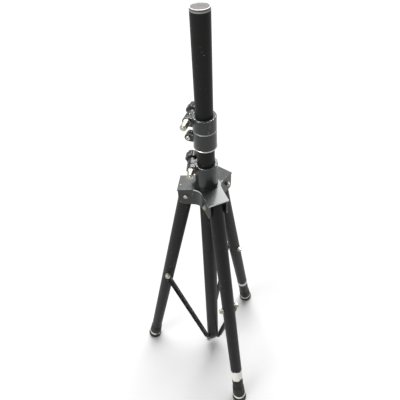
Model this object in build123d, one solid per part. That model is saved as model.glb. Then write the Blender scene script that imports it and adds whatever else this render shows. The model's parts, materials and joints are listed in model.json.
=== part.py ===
from build123d import *
import os
from math import asin, atan2, cos, degrees, hypot, radians, sin, tan

# Speaker tripod stand. Millimetres, +Z up. The origin is on the pole's axis at floor level.
# Leg 1 points to -Y, leg 2 and leg 3 follow at 120 degree steps. The stand is partly opened.

# ---- stance ----
LEG_COUNT = 3
FIRST_LEG_AZIMUTH = -90.0
LEG_ANGLE = 12.57            # each leg's lean from vertical in this pose
LEG_PIVOT_RADIUS = 46.3
PIVOT_TO_DOME = 742.0        # leg pivot to the centre of the foot's domed sole
STRUT_PIVOT_DOWN_LEG = 351.0

# ---- poles ----
POLE_OD = 35.0               # standard socket size of loudspeaker cabinets
POLE_WALL = 1.5
POLE_LENGTH = 1000.0
POLE_TOP = 1186.2
SPIGOT_LENGTH = 110.0        # depth that a cabinet's socket takes
STOP_LINE_HEIGHT = 1.6
STOP_LINE_DEPTH = 0.3
CAP_HEAD = 3.0
CAP_SPIGOT = 16.0
CAP_INSET = 0.2
CAP_WALL = 2.5
CAP_SKIN = 1.0
CAP_CHAMFER = 1.0
PLUG_LENGTH = 36.0
PLUG_FLANGE = 6.0
PLUG_WALL = 4.0
PLUG_FIT = 0.15
POLE_SLACK = 0.3             # pole's side to the inside of the lower tube
TUBE_WALL = 1.2
TUBE_BOTTOM = 62.0

# ---- legs and feet ----
LEG_OD = 34.0
LEG_WALL = 1.2
INSERT_LENGTH = 46.0
INSERT_WALL = 4.0
INSERT_SOLID = 10.0          # solid part of the insert below the pivot
SOLE_DOME_RADIUS = 60.0
SOLE_RADIUS = 21.0
SOLE_FLAT_DEPTH = 0.35       # how far the dome is worn flat where it stands
FOOT_LIP = 1.2
FOOT_LIP_HEIGHT = 3.4
FOOT_LIP_DROP = 0.6
FOOT_LIP_STEP = 0.4
FOOT_FLARE_HEIGHT = 46.0
FOOT_SLEEVE_WALL = 1.7
FOOT_SLEEVE_HEIGHT = 54.0
FOOT_TOP_CHAMFER = 1.0
SOLE_THICKNESS = 12.0

# ---- hub casting ----
NECK_WALL = 4.0
NECK_HEIGHT = 61.9           # above the arms
ARM_TOP_SPACE = 7.84         # arm's top at the neck over the top of the leg
ARM_TIP = 0.2                # arm's end beyond the leg
ARM_FALL = 4.2               # how far the arm's top slopes down from neck to tip
CHEEK_THICKNESS = 4.4
PLATE_OVERHANG = 1.2
PLATE_THICKNESS = 3.0
CHEEK_DROP = 24.0            # cheek's lower edge below the leg pivot
CHEEK_CORNER = 8.0
ARM_CORNER_RADIUS = 25.0
CHEEK_GAP = 1.3              # leg side to cheek
SLOT_GAP = 0.8               # leg to the slot's inner wall
HUB_LINER_WALL = 1.6
HUB_LINER_RISE = 12.1        # liner's lower end over the hub's
HUB_LIP_GAP = 0.8
LIP_HEIGHT = 4.0             # inward lip over each liner
TUBE_RUNNING_GAP = 0.4

# ---- height collar ----
COLLAR_WALL = 5.0
COLLAR_BOTTOM = 915.5
COLLAR_SEAM = 959.0
COLLAR_TOP = 989.4
SEAM_GAP = 1.2
SEAM_DEPTH = 2.6
SEAM_SLOPE = 1.6             # how far the seam's lower edge slopes down to the outside
COLLAR_LINER_WALL = 2.3
COLLAR_LIP_GAP = 0.3
RIM_CHAMFER = 1.2
BEAD_PROUD = 0.8
BEAD_HEIGHT = 2.2
BEAD_EDGE = 0.4
PINCH_Z = 934.0
PINCH_STAND_OUT = 9.0
PINCH_LUG_RADIUS = 8.5
PINCH_LUG_HALF = 8.0

# ---- clamps ----
COLLAR_AZIMUTH = 138.0       # side that the collar's split and ears face
HUB_AZIMUTH = 153.0
CLAMP_STAND_OUT = 7.0        # clamp stud to the neck's outside
EAR_RADIUS = 10.0
EAR_HALF = 12.0
EAR_ROOT = 15.0              # ears start inside the wall
SPLIT_GAP = 3.0
HEIGHT_CLAMP_Z = 975.0
HUB_CLAMP_DROP = 13.6        # below the neck's top
HUB_SPLIT_RISE = 15.3        # split's lower end over the arms
KNOB_RADIUS = 16.0
KNOB_LENGTH = 17.5
KNOB_CLEARANCE = 2.6         # knob's inner face to the casting
KNOB_CHAMFER = 2.0
KNOB_BOSS_RADIUS = 9.0
KNOB_LOBES = 6
KNOB_TURN = -20.0
KNOB_SCALLOP_RADIUS = 5.0
KNOB_SCALLOP_DEPTH = 2.75
KNOB_SKIN = 5.0
BARREL_RADIUS = 7.0
BARREL_LENGTH = 13.0
STUD_CHAMFER = 0.8

# ---- struts and the block they meet at ----
STRUT_WIDTH = 15.0
STRUT_GAUGE = 1.5
STRUT_DEPTH = 6.5
STRUT_END_RADIUS = 8.5
STRUT_FLANGE_START = 14.0
STRUT_SPACER = 1.8
STRUT_TUBE_LAP = 0.2
BLOCK_PIVOT_RADIUS = 12.0
BLOCK_PIVOT_Z = 46.0
BLOCK_BOTTOM = 34.0
BLOCK_SPIGOT = 20.0
BLOCK_EAR_RADIUS = 9.5
BLOCK_TIP_RADIUS = 13.0
BLOCK_SCREW_DEPTH = 12.5

# ---- fasteners and fits ----
M8 = 4.0                     # shank radius
M6 = 3.0
M8_ACROSS_FLATS = 13.0
M8_NUT_HEIGHT = 6.5
M8_HEAD_HEIGHT = 5.3
M6_ACROSS_FLATS = 10.0
M6_NUT_HEIGHT = 5.0
BUTTON_RADIUS = 5.25         # round M6 heads
BUTTON_HEIGHT = 3.3
BUTTON_ROUND = 2.4
BUTTON_SOCKET = 4.0
BUTTON_SOCKET_DEPTH = 2.0
WASHER_RADIUS = 8.0
WASHER_THICKNESS = 1.2
THREAD_STICK_OUT = 2.5
RUNNING_FIT = 0.08
LOOSE_PIN_FIT = 0.6          # the strut's lower holes are slack
BORE_FIT = 0.05
DRILL_FIT = 0.1
BOLT_FIT = 0.2
END_GAP = 0.5
SIDE_GAP = 0.3

# ---- worked out from the above ----
POLE_R = POLE_OD / 2
TUBE_R = POLE_R + POLE_SLACK + TUBE_WALL
LEG_R = LEG_OD / 2
DOME_R = SOLE_DOME_RADIUS
LEAN_SIN = sin(radians(LEG_ANGLE))
LEAN_COS = cos(radians(LEG_ANGLE))
LEG_PIVOT_Z = PIVOT_TO_DOME * LEAN_COS + DOME_R - SOLE_FLAT_DEPTH
SOLE_TIP = PIVOT_TO_DOME + DOME_R
SOLE_EDGE = PIVOT_TO_DOME + (DOME_R ** 2 - SOLE_RADIUS ** 2) ** 0.5
LEG_END = SOLE_TIP - SOLE_THICKNESS
HUB_LOW = LEG_PIVOT_Z - CHEEK_DROP
ARM_TOP_AT_NECK = LEG_PIVOT_Z + LEG_R + ARM_TOP_SPACE
ARM_REACH = LEG_PIVOT_RADIUS + LEG_R + ARM_TIP
NECK_TOP = ARM_TOP_AT_NECK + NECK_HEIGHT
HUB_CLAMP_Z = NECK_TOP - HUB_CLAMP_DROP
HUB_SPLIT_BOTTOM = ARM_TOP_AT_NECK + HUB_SPLIT_RISE
HUB_LINER_BOTTOM = HUB_LOW + HUB_LINER_RISE
UPPER_PIVOT_RADIUS = LEG_PIVOT_RADIUS + STRUT_PIVOT_DOWN_LEG * LEAN_SIN
UPPER_PIVOT_Z = LEG_PIVOT_Z - STRUT_PIVOT_DOWN_LEG * LEAN_COS
STRUT_LENGTH = hypot(UPPER_PIVOT_RADIUS - BLOCK_PIVOT_RADIUS, UPPER_PIVOT_Z - BLOCK_PIVOT_Z)
STRUT_ANGLE = degrees(atan2(UPPER_PIVOT_RADIUS - BLOCK_PIVOT_RADIUS, UPPER_PIVOT_Z - BLOCK_PIVOT_Z))
STRUT_INNER = max(LEG_R + STRUT_SPACER, TUBE_R - STRUT_TUBE_LAP)
STRUT_OUTER = STRUT_INNER + STRUT_GAUGE
HEAD_SEAT = STRUT_OUTER + SIDE_GAP
BLOCK_FACE = STRUT_INNER - SIDE_GAP
TUBE_TOP = COLLAR_SEAM - SEAM_GAP / 2
HUB_LINER_INNER = TUBE_R + TUBE_RUNNING_GAP
HUB_BORE = HUB_LINER_INNER + HUB_LINER_WALL
NECK_RADIUS = HUB_BORE + NECK_WALL
CHEEK_INNER = LEG_R + CHEEK_GAP
ARM_HALF_WIDTH = CHEEK_INNER + CHEEK_THICKNESS
SLOT_INNER_RADIUS = LEG_PIVOT_RADIUS - LEG_R - SLOT_GAP
COLLAR_RADIUS = TUBE_R + COLLAR_WALL
PINCH_OUT = COLLAR_RADIUS + PINCH_STAND_OUT
CLAMP_OUT = NECK_RADIUS + CLAMP_STAND_OUT
ARM_SLOPE = degrees(atan2(ARM_FALL, ARM_REACH - NECK_RADIUS))
COLLAR_BORE_TOP = POLE_R + RUNNING_FIT + COLLAR_LINER_WALL
KNOB_START = EAR_HALF + WASHER_THICKNESS + SIDE_GAP
KNOB_FACE = ((NECK_RADIUS + KNOB_CLEARANCE) ** 2 - (CLAMP_OUT - KNOB_RADIUS) ** 2) ** 0.5
KNOB_END = KNOB_FACE + KNOB_LENGTH
BARREL_START = EAR_HALF + WASHER_THICKNESS + M8_NUT_HEIGHT
BARREL_END = BARREL_START + BARREL_LENGTH
LEG_AZIMUTHS = [FIRST_LEG_AZIMUTH + k * 360.0 / LEG_COUNT for k in range(LEG_COUNT)]
FAR = 200.0
THROUGH = 50.0               # half length of cuts made right through


# ---- small shape helpers ----
def disc(radius, low, high):
    """An upright cylinder between two heights."""
    return Pos(0, 0, low) * Cylinder(radius, high - low, align=(Align.CENTER, Align.CENTER, Align.MIN))


def ring(outer, inner, low, high):
    return disc(outer, low, high) - disc(inner, low - 1, high + 1)


def cross_pin(radius, x, z, start, end):
    """A cylinder along Y through (x, z), from y = start to y = end."""
    return Pos(x, start, z) * Rot(-90, 0, 0) * Cylinder(
        radius, end - start, align=(Align.CENTER, Align.CENTER, Align.MIN))


def cross_hex(across_flats, x, z, start, end):
    prism = extrude(RegularPolygon(across_flats / 2, 6, major_radius=False), end - start)
    return Pos(x, start, z) * Rot(-90, 0, 0) * prism


def block(x0, x1, y0, y1, z0, z1):
    corner = (Align.MIN, Align.MIN, Align.MIN)
    return Pos(x0, y0, z0) * Box(x1 - x0, y1 - y0, z1 - z0, align=corner)


def lug(radius, out, z, start, half):
    """A flat lug with a round end, standing out along +X."""
    return cross_pin(radius, out, z, -half, half) + block(start, out, -half, half, z - radius, z + radius)


def washer(radius, hole, x, z, start, thickness):
    body = cross_pin(radius, x, z, start, start + thickness)
    return body - cross_pin(hole, x, z, start - 1, start + thickness + 1)


def turned(azimuth, shape):
    return Rot(0, 0, azimuth) * shape


def at_leg(azimuth, shape):
    """Places a shape made in the leg's frame: pivot at the origin, leg down -Z, +X outwards."""
    return Rot(0, 0, azimuth) * Pos(LEG_PIVOT_RADIUS, 0, LEG_PIVOT_Z) * Rot(0, -LEG_ANGLE, 0) * shape


def at_strut(azimuth, shape):
    """Places a shape made in the strut's frame: upper pivot at the origin, strut down -Z."""
    place = Pos(UPPER_PIVOT_RADIUS, 0, UPPER_PIVOT_Z) * Rot(0, STRUT_ANGLE, 0)
    return Rot(0, 0, azimuth) * place * shape


def revolved(points):
    """A solid of revolution about Z from an (r, z) outline."""
    outline = Polyline(*[(r, 0, z) for r, z in points], close=True)
    return revolve(make_face(outline), Axis.Z)


def split(low, high):
    """The slot that lets a clamp close, along +X."""
    return block(0, FAR, -SPLIT_GAP / 2, SPLIT_GAP / 2, low, high)


# ---- hub ----
def hub_arm():
    """One arm's cheeks and top, as a side outline pushed out to both sides."""
    z_in = ARM_TOP_AT_NECK - PLATE_THICKNESS / 2
    z_out = z_in - ARM_FALL
    turn_x = ARM_REACH - CHEEK_CORNER
    turn_z = HUB_LOW + CHEEK_CORNER
    with BuildSketch(Plane.XZ) as side:
        with BuildLine():
            Line((0, HUB_LOW), (turn_x, HUB_LOW))
            CenterArc((turn_x, turn_z), CHEEK_CORNER, -90, 90)
            Polyline((ARM_REACH, turn_z), (ARM_REACH, z_out), (NECK_RADIUS, z_in), (0, z_in),
                     (0, HUB_LOW))
        make_face()
    return extrude(side.sketch, ARM_HALF_WIDTH, both=True)


def arm_plate():
    """The flat sloping plate that covers one arm and overhangs its cheeks."""
    z_in = ARM_TOP_AT_NECK
    z_out = z_in - ARM_FALL
    points = [(0, z_in - PLATE_THICKNESS), (NECK_RADIUS, z_in - PLATE_THICKNESS),
              (ARM_REACH + PLATE_OVERHANG, z_out - PLATE_THICKNESS),
              (ARM_REACH + PLATE_OVERHANG, z_out), (NECK_RADIUS, z_in), (0, z_in)]
    with BuildSketch(Plane.XZ) as side:
        with BuildLine():
            Polyline(*points, close=True)
        make_face()
    return extrude(side.sketch, ARM_HALF_WIDTH + PLATE_OVERHANG, both=True)


def corner_fill(half_width, low, high):
    """The rounded web between neighbouring arms, made in the frame of the line halfway between."""
    half_angle = radians(180.0 / LEG_COUNT)
    centre = (half_width + ARM_CORNER_RADIUS) / sin(half_angle)
    touch_x = centre - ARM_CORNER_RADIUS * sin(half_angle)
    touch_y = ARM_CORNER_RADIUS * cos(half_angle)
    start = half_width / 2
    with BuildSketch() as plan:
        with BuildLine():
            Polyline((start, 0), (touch_x, touch_y), (touch_x, -touch_y), close=True)
        make_face()
    wedge = Pos(0, 0, low) * extrude(plan.sketch, high - low)
    return wedge - Pos(centre, 0, 0) * disc(ARM_CORNER_RADIUS, low - 1, high + 1)


def under_plate(x):
    """Height of the plate's underside at a distance from the pole's axis."""
    return ARM_TOP_AT_NECK - PLATE_THICKNESS - (x - NECK_RADIUS) * tan(radians(ARM_SLOPE))


def arm_slot():
    """The space between an arm's cheeks, in which the leg swings."""
    outer = ARM_REACH + CHEEK_CORNER
    with BuildSketch(Plane.XZ) as side:
        with BuildLine():
            Polyline((SLOT_INNER_RADIUS, HUB_LOW - 10), (outer, HUB_LOW - 10), (outer, under_plate(outer)),
                     (SLOT_INNER_RADIUS, under_plate(SLOT_INNER_RADIUS)), close=True)
        make_face()
    return extrude(side.sketch, CHEEK_INNER, both=True)


def make_hub():
    body = disc(NECK_RADIUS, HUB_LOW, NECK_TOP)
    body = chamfer(body.edges().group_by(Axis.Z)[-1], RIM_CHAMFER)
    plate_low = ARM_TOP_AT_NECK - PLATE_THICKNESS
    wide = ARM_HALF_WIDTH + PLATE_OVERHANG
    for azimuth in LEG_AZIMUTHS:
        between = azimuth + 180.0 / LEG_COUNT
        body += turned(azimuth, hub_arm())
        body += turned(azimuth, arm_plate())
        body += turned(between, corner_fill(ARM_HALF_WIDTH, HUB_LOW, plate_low))
        body += turned(between, corner_fill(wide, plate_low, ARM_TOP_AT_NECK))
    body += turned(HUB_AZIMUTH, lug(EAR_RADIUS, CLAMP_OUT, HUB_CLAMP_Z, EAR_ROOT, EAR_HALF))
    for azimuth in LEG_AZIMUTHS:
        body -= turned(azimuth, arm_slot())
        hole = cross_pin(M6 + RUNNING_FIT, LEG_PIVOT_RADIUS, LEG_PIVOT_Z, -THROUGH, THROUGH)
        body -= turned(azimuth, hole)
    body -= disc(HUB_BORE + BORE_FIT, HUB_LOW - 1, NECK_TOP - LIP_HEIGHT)
    body -= disc(TUBE_R + HUB_LIP_GAP, NECK_TOP - LIP_HEIGHT - 1, NECK_TOP + 1)
    body -= turned(HUB_AZIMUTH, split(HUB_SPLIT_BOTTOM, NECK_TOP + 1))
    return body - turned(HUB_AZIMUTH, cross_pin(M8 + BOLT_FIT, CLAMP_OUT, HUB_CLAMP_Z, -THROUGH, THROUGH))


def make_hub_liner():
    liner = ring(HUB_BORE, HUB_LINER_INNER, HUB_LINER_BOTTOM, NECK_TOP - LIP_HEIGHT - END_GAP)
    return liner - turned(HUB_AZIMUTH, split(HUB_SPLIT_BOTTOM, NECK_TOP))


# ---- fastener sets ----
def button_head(x, z, seat):
    """Domed round head with a hex socket, standing on +Y of its seat."""
    head = cross_pin(BUTTON_RADIUS, x, z, seat, seat + BUTTON_HEIGHT)
    head = fillet(head.edges().group_by(Axis.Y)[-1], BUTTON_ROUND)
    top = seat + BUTTON_HEIGHT
    return head - cross_hex(BUTTON_SOCKET, x, z, top - BUTTON_SOCKET_DEPTH, top + 1)


def small_bolt(x, z, half):
    """M6 bolt through two faces that stand at half either side, its head on +Y."""
    end = -half - M6_NUT_HEIGHT - THREAD_STICK_OUT
    shank = cross_pin(M6, x, z, end, half + BUTTON_HEIGHT - BUTTON_SOCKET_DEPTH)
    return shank + button_head(x, z, half)


def small_nut(x, z, half):
    nut = cross_hex(M6_ACROSS_FLATS, x, z, -half - M6_NUT_HEIGHT, -half)
    return nut - cross_pin(M6 + BORE_FIT, x, z, -half - M6_NUT_HEIGHT - 1, -half + 1)


def pivot_washers():
    x, z = LEG_PIVOT_RADIUS, LEG_PIVOT_Z
    thick = CHEEK_GAP - RUNNING_FIT * 2
    near = washer(WASHER_RADIUS, M6 + RUNNING_FIT, x, z, CHEEK_INNER - thick, thick)
    far = washer(WASHER_RADIUS, M6 + RUNNING_FIT, x, z, -CHEEK_INNER, thick)
    return [near, far]


# ---- legs ----
def rounded_top(shape, radius):
    """Rounds the top of an upright leg part about the pivot's axis."""
    spare = block(-FAR, FAR, -FAR, FAR, 0, FAR) - cross_pin(radius, 0, 0, -FAR, FAR)
    return shape - spare


def make_leg_tube():
    tube = ring(LEG_R, LEG_R - LEG_WALL, -LEG_END, LEG_R)
    tube = rounded_top(tube, LEG_R)
    tube -= cross_pin(M6 + DRILL_FIT, 0, 0, -LEG_OD, LEG_OD)
    return tube - cross_pin(M8 + DRILL_FIT, 0, -STRUT_PIVOT_DOWN_LEG, -LEG_OD, LEG_OD)


def make_leg_insert():
    core = LEG_R - LEG_WALL - BORE_FIT
    insert = rounded_top(disc(core, core - INSERT_LENGTH, core), core)
    insert -= disc(core - INSERT_WALL, core - INSERT_LENGTH - 1, -INSERT_SOLID)
    return insert - cross_pin(M6 + RUNNING_FIT, 0, 0, -LEG_OD, LEG_OD)


def make_foot():
    """Rubber boot: a sleeve over the leg's end that flares to a lip over a domed sole."""
    sleeve = LEG_R + FOOT_SLEEVE_WALL
    lip_low = SOLE_EDGE - FOOT_LIP_DROP
    lip_high = lip_low - FOOT_LIP_HEIGHT
    top = SOLE_TIP - FOOT_SLEEVE_HEIGHT - SOLE_THICKNESS
    with BuildSketch(Plane.XZ) as side:
        with BuildLine():
            CenterArc((0, -PIVOT_TO_DOME), DOME_R, -90, degrees(asin(SOLE_RADIUS / DOME_R)))
            Polyline((SOLE_RADIUS, -SOLE_EDGE), (SOLE_RADIUS + FOOT_LIP, -lip_low),
                     (SOLE_RADIUS + FOOT_LIP, -lip_high), (SOLE_RADIUS, FOOT_LIP_STEP - lip_high),
                     (sleeve, FOOT_FLARE_HEIGHT - lip_high), (sleeve, -top - FOOT_TOP_CHAMFER),
                     (sleeve - FOOT_TOP_CHAMFER, -top), (LEG_R + BORE_FIT, -top),
                     (LEG_R + BORE_FIT, -LEG_END), (0, -LEG_END), (0, -SOLE_TIP))
        make_face()
    return revolve(side.sketch, Axis.Z)


def make_strut_bolt():
    z = -STRUT_PIVOT_DOWN_LEG
    head_low = HEAD_SEAT + WASHER_THICKNESS
    head = cross_hex(M8_ACROSS_FLATS, 0, z, head_low, head_low + M8_HEAD_HEIGHT)
    end = -LEG_R - WASHER_THICKNESS - M8_NUT_HEIGHT - THREAD_STICK_OUT
    return head + cross_pin(M8, 0, z, end, head_low + 1)


def make_strut_nut():
    z = -STRUT_PIVOT_DOWN_LEG
    start = -LEG_R - WASHER_THICKNESS - M8_NUT_HEIGHT
    nut = cross_hex(M8_ACROSS_FLATS, 0, z, start, start + M8_NUT_HEIGHT)
    return nut - cross_pin(M8 + BORE_FIT, 0, z, start - 1, start + M8_NUT_HEIGHT + 1)


def make_strut_washers():
    z = -STRUT_PIVOT_DOWN_LEG
    hole = M8 + BORE_FIT
    spacer = washer(WASHER_RADIUS, hole, 0, z, LEG_R, STRUT_INNER - SIDE_GAP - LEG_R)
    under_head = washer(WASHER_RADIUS, hole, 0, z, HEAD_SEAT, WASHER_THICKNESS)
    under_nut = washer(WASHER_RADIUS, hole, 0, z, -LEG_R - WASHER_THICKNESS, WASHER_THICKNESS)
    return [spacer, under_head, under_nut]


# ---- struts ----
def make_strut():
    """Pressed channel with flat round ends, its web against the leg and its open side outwards."""
    half = STRUT_WIDTH / 2
    y0 = STRUT_INNER
    y1 = STRUT_OUTER
    body = block(-half, half, y0, y1, -STRUT_LENGTH, 0)
    for z in (0, -STRUT_LENGTH):
        body += cross_pin(STRUT_END_RADIUS, 0, z, y0, y1)
    for side in (-1, 1):
        wall = block(-STRUT_GAUGE / 2, STRUT_GAUGE / 2, y0, y0 + STRUT_DEPTH,
                     -STRUT_LENGTH + STRUT_FLANGE_START, -STRUT_FLANGE_START)
        wall = chamfer(wall.edges().filter_by(Axis.X).sort_by(Axis.Y)[-2:], STRUT_DEPTH - STRUT_GAUGE)
        body += Pos(side * (half - STRUT_GAUGE / 2), 0, 0) * wall
    body -= cross_pin(M8 + RUNNING_FIT, 0, 0, y0 - 1, y1 + 1)
    return body - cross_pin(M8 + LOOSE_PIN_FIT, 0, -STRUT_LENGTH, y0 - 1, y1 + 1)


# ---- centre tube and the block at its foot ----
def make_lower_tube():
    return ring(TUBE_R, TUBE_R - TUBE_WALL, TUBE_BOTTOM, TUBE_TOP)


def make_bottom_block():
    """Block in the tube's foot, with one ear beside each strut."""
    spigot = TUBE_R - TUBE_WALL - BORE_FIT
    body = revolved([(0, BLOCK_BOTTOM), (BLOCK_TIP_RADIUS, BLOCK_BOTTOM), (TUBE_R, BLOCK_PIVOT_Z),
                     (TUBE_R, TUBE_BOTTOM), (spigot, TUBE_BOTTOM), (spigot, TUBE_BOTTOM + BLOCK_SPIGOT),
                     (0, TUBE_BOTTOM + BLOCK_SPIGOT)])
    for azimuth in LEG_AZIMUTHS:
        ear = cross_pin(BLOCK_EAR_RADIUS, BLOCK_PIVOT_RADIUS, BLOCK_PIVOT_Z, BLOCK_FACE / 2, BLOCK_FACE)
        ear += block(0, BLOCK_PIVOT_RADIUS, BLOCK_FACE / 2, BLOCK_FACE,
                     BLOCK_PIVOT_Z - BLOCK_EAR_RADIUS, BLOCK_PIVOT_Z + BLOCK_EAR_RADIUS)
        body += turned(azimuth, ear)
    for azimuth in LEG_AZIMUTHS:
        face = block(-THROUGH, THROUGH, BLOCK_FACE, THROUGH, BLOCK_BOTTOM - 1, TUBE_BOTTOM)
        body -= turned(azimuth, face)
        depth = BLOCK_FACE - BLOCK_SCREW_DEPTH
        hole = cross_pin(M8 + BORE_FIT, BLOCK_PIVOT_RADIUS, BLOCK_PIVOT_Z, depth, THROUGH)
        body -= turned(azimuth, hole)
    return body


def block_screw():
    x, z = BLOCK_PIVOT_RADIUS, BLOCK_PIVOT_Z
    body = cross_pin(M8, x, z, BLOCK_FACE - BLOCK_SCREW_DEPTH + END_GAP, HEAD_SEAT + 1)
    body += cross_pin(WASHER_RADIUS, x, z, HEAD_SEAT, HEAD_SEAT + WASHER_THICKNESS)
    head_low = HEAD_SEAT + WASHER_THICKNESS
    return body + cross_hex(M8_ACROSS_FLATS, x, z, head_low, head_low + M8_HEAD_HEIGHT)


# ---- height collar ----
def seam_groove(low, high):
    """Outside groove of the seam, its lower side sloping down to the outside."""
    inner = COLLAR_RADIUS - SEAM_DEPTH
    outer = COLLAR_RADIUS + SEAM_DEPTH
    return revolved([(inner, low), (inner, high), (outer, high), (outer, low - 2 * SEAM_SLOPE)])


def base_bead():
    proud = COLLAR_RADIUS + BEAD_PROUD
    low = COLLAR_BOTTOM
    return revolved([(TUBE_R, low), (proud - BEAD_EDGE, low), (proud, low + BEAD_EDGE),
                     (proud, low + BEAD_HEIGHT - BEAD_PROUD), (COLLAR_RADIUS, low + BEAD_HEIGHT),
                     (TUBE_R, low + BEAD_HEIGHT)])


def make_collar():
    body = disc(COLLAR_RADIUS, COLLAR_BOTTOM, COLLAR_TOP)
    body = chamfer(body.edges().group_by(Axis.Z)[-1], RIM_CHAMFER)
    body += base_bead()
    lugs = lug(EAR_RADIUS, CLAMP_OUT, HEIGHT_CLAMP_Z, EAR_ROOT, EAR_HALF)
    lugs += lug(PINCH_LUG_RADIUS, PINCH_OUT, PINCH_Z, EAR_ROOT, PINCH_LUG_HALF)
    body += turned(COLLAR_AZIMUTH, lugs)
    low, high = COLLAR_SEAM - SEAM_GAP / 2, COLLAR_SEAM + SEAM_GAP / 2
    body -= disc(TUBE_R + BORE_FIT, COLLAR_BOTTOM - 1, low)
    body -= disc(COLLAR_BORE_TOP + BORE_FIT, low, COLLAR_TOP - LIP_HEIGHT)
    body -= disc(POLE_R + COLLAR_LIP_GAP, COLLAR_TOP - LIP_HEIGHT - 1, COLLAR_TOP + 1)
    body -= seam_groove(low, high)
    cuts = block(0, FAR, -THROUGH, THROUGH, low, high)
    cuts += split(COLLAR_BOTTOM - 1, COLLAR_TOP + 1)
    cuts += cross_pin(M8 + BOLT_FIT, CLAMP_OUT, HEIGHT_CLAMP_Z, -THROUGH, THROUGH)
    cuts += cross_pin(M6 + BOLT_FIT, PINCH_OUT, PINCH_Z, -THROUGH, THROUGH)
    return body - turned(COLLAR_AZIMUTH, cuts)


def make_collar_liner():
    top = COLLAR_TOP - LIP_HEIGHT - END_GAP
    liner = ring(COLLAR_BORE_TOP, POLE_R + RUNNING_FIT, COLLAR_SEAM + SEAM_GAP / 2, top)
    return liner - turned(COLLAR_AZIMUTH, split(0, COLLAR_TOP))


# ---- clamp hardware, the same on the collar and on the hub ----
def knob(z):
    """Lobed hand knob on the -Y side of the ears."""
    body = cross_pin(KNOB_RADIUS, CLAMP_OUT, z, -KNOB_END, -KNOB_FACE)
    body = chamfer(body.edges(), KNOB_CHAMFER)
    reach = KNOB_RADIUS + KNOB_SCALLOP_RADIUS - KNOB_SCALLOP_DEPTH
    for k in range(KNOB_LOBES):
        angle = radians(KNOB_TURN + k * 360.0 / KNOB_LOBES)
        body -= cross_pin(KNOB_SCALLOP_RADIUS, CLAMP_OUT + reach * cos(angle), z + reach * sin(angle),
                          -KNOB_END - 1, -KNOB_FACE + 1)
    body += cross_pin(KNOB_BOSS_RADIUS, CLAMP_OUT, z, -KNOB_FACE - 1, -KNOB_START)
    return body - cross_pin(M8 + BORE_FIT, CLAMP_OUT, z, -KNOB_END + KNOB_SKIN, 0)


def stud(z):
    body = cross_pin(M8, CLAMP_OUT, z, -KNOB_END + KNOB_SKIN + END_GAP, BARREL_END + THREAD_STICK_OUT)
    return chamfer(body.edges().group_by(Axis.Y)[-1], STUD_CHAMFER)


def clamp_nut(z):
    """Hex nut with a long round barrel beyond it."""
    low = EAR_HALF + WASHER_THICKNESS
    nut = cross_hex(M8_ACROSS_FLATS, CLAMP_OUT, z, low, BARREL_START)
    nut += cross_pin(BARREL_RADIUS, CLAMP_OUT, z, BARREL_START - 1, BARREL_END)
    return nut - cross_pin(M8 + RUNNING_FIT, CLAMP_OUT, z, low - 1, BARREL_END + 1)


def clamp_washers(z):
    hole = M8 + BOLT_FIT
    front = washer(WASHER_RADIUS, hole, CLAMP_OUT, z, EAR_HALF, WASHER_THICKNESS)
    rear = washer(WASHER_RADIUS, hole, CLAMP_OUT, z, -EAR_HALF - WASHER_THICKNESS, WASHER_THICKNESS)
    return [front, rear]


# ---- upper pole ----
def make_pole():
    body = ring(POLE_R, POLE_R - POLE_WALL, POLE_TOP - POLE_LENGTH, POLE_TOP)
    line_top = POLE_TOP - SPIGOT_LENGTH
    return body - ring(POLE_R + 1, POLE_R - STOP_LINE_DEPTH, line_top - STOP_LINE_HEIGHT, line_top)


def make_pole_cap():
    spigot = POLE_R - POLE_WALL - BORE_FIT
    head = disc(POLE_R - CAP_INSET, POLE_TOP, POLE_TOP + CAP_HEAD)
    head = chamfer(head.edges().group_by(Axis.Z)[-1], CAP_CHAMFER)
    body = head + disc(spigot, POLE_TOP - CAP_SPIGOT, POLE_TOP)
    return body - disc(spigot - CAP_WALL, POLE_TOP - CAP_SPIGOT - 1, POLE_TOP - CAP_SKIN)


def make_pole_plug():
    """Guide bush that the pole turns on, running inside the lower tube."""
    low = POLE_TOP - POLE_LENGTH
    flange = disc(TUBE_R - TUBE_WALL - PLUG_FIT, low - PLUG_FLANGE, low - SIDE_GAP)
    spigot = disc(POLE_R - POLE_WALL - RUNNING_FIT, low - 1, low + PLUG_LENGTH - PLUG_FLANGE)
    return flange + spigot - disc(POLE_R - POLE_WALL - PLUG_WALL, low - PLUG_FLANGE - 1, low + PLUG_LENGTH)


# ---- writing ----
def save(name, shape):
    solids = shape if isinstance(shape, list) else [shape]
    pieces = [solid for piece in solids for solid in piece.solids()]
    whole = pieces[0] if len(pieces) == 1 else Compound(children=pieces)
    whole.label = name
    export_step(whole, f"parts/{name}.step")


def around(shapes):
    """The same pieces at every leg."""
    pieces = shapes if isinstance(shapes, list) else [shapes]
    return [turned(azimuth, piece) for azimuth in LEG_AZIMUTHS for piece in pieces]


def floor_cut(foot):
    return foot - block(-FAR * 5, FAR * 5, -FAR * 5, FAR * 5, -FAR, 0)


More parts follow.
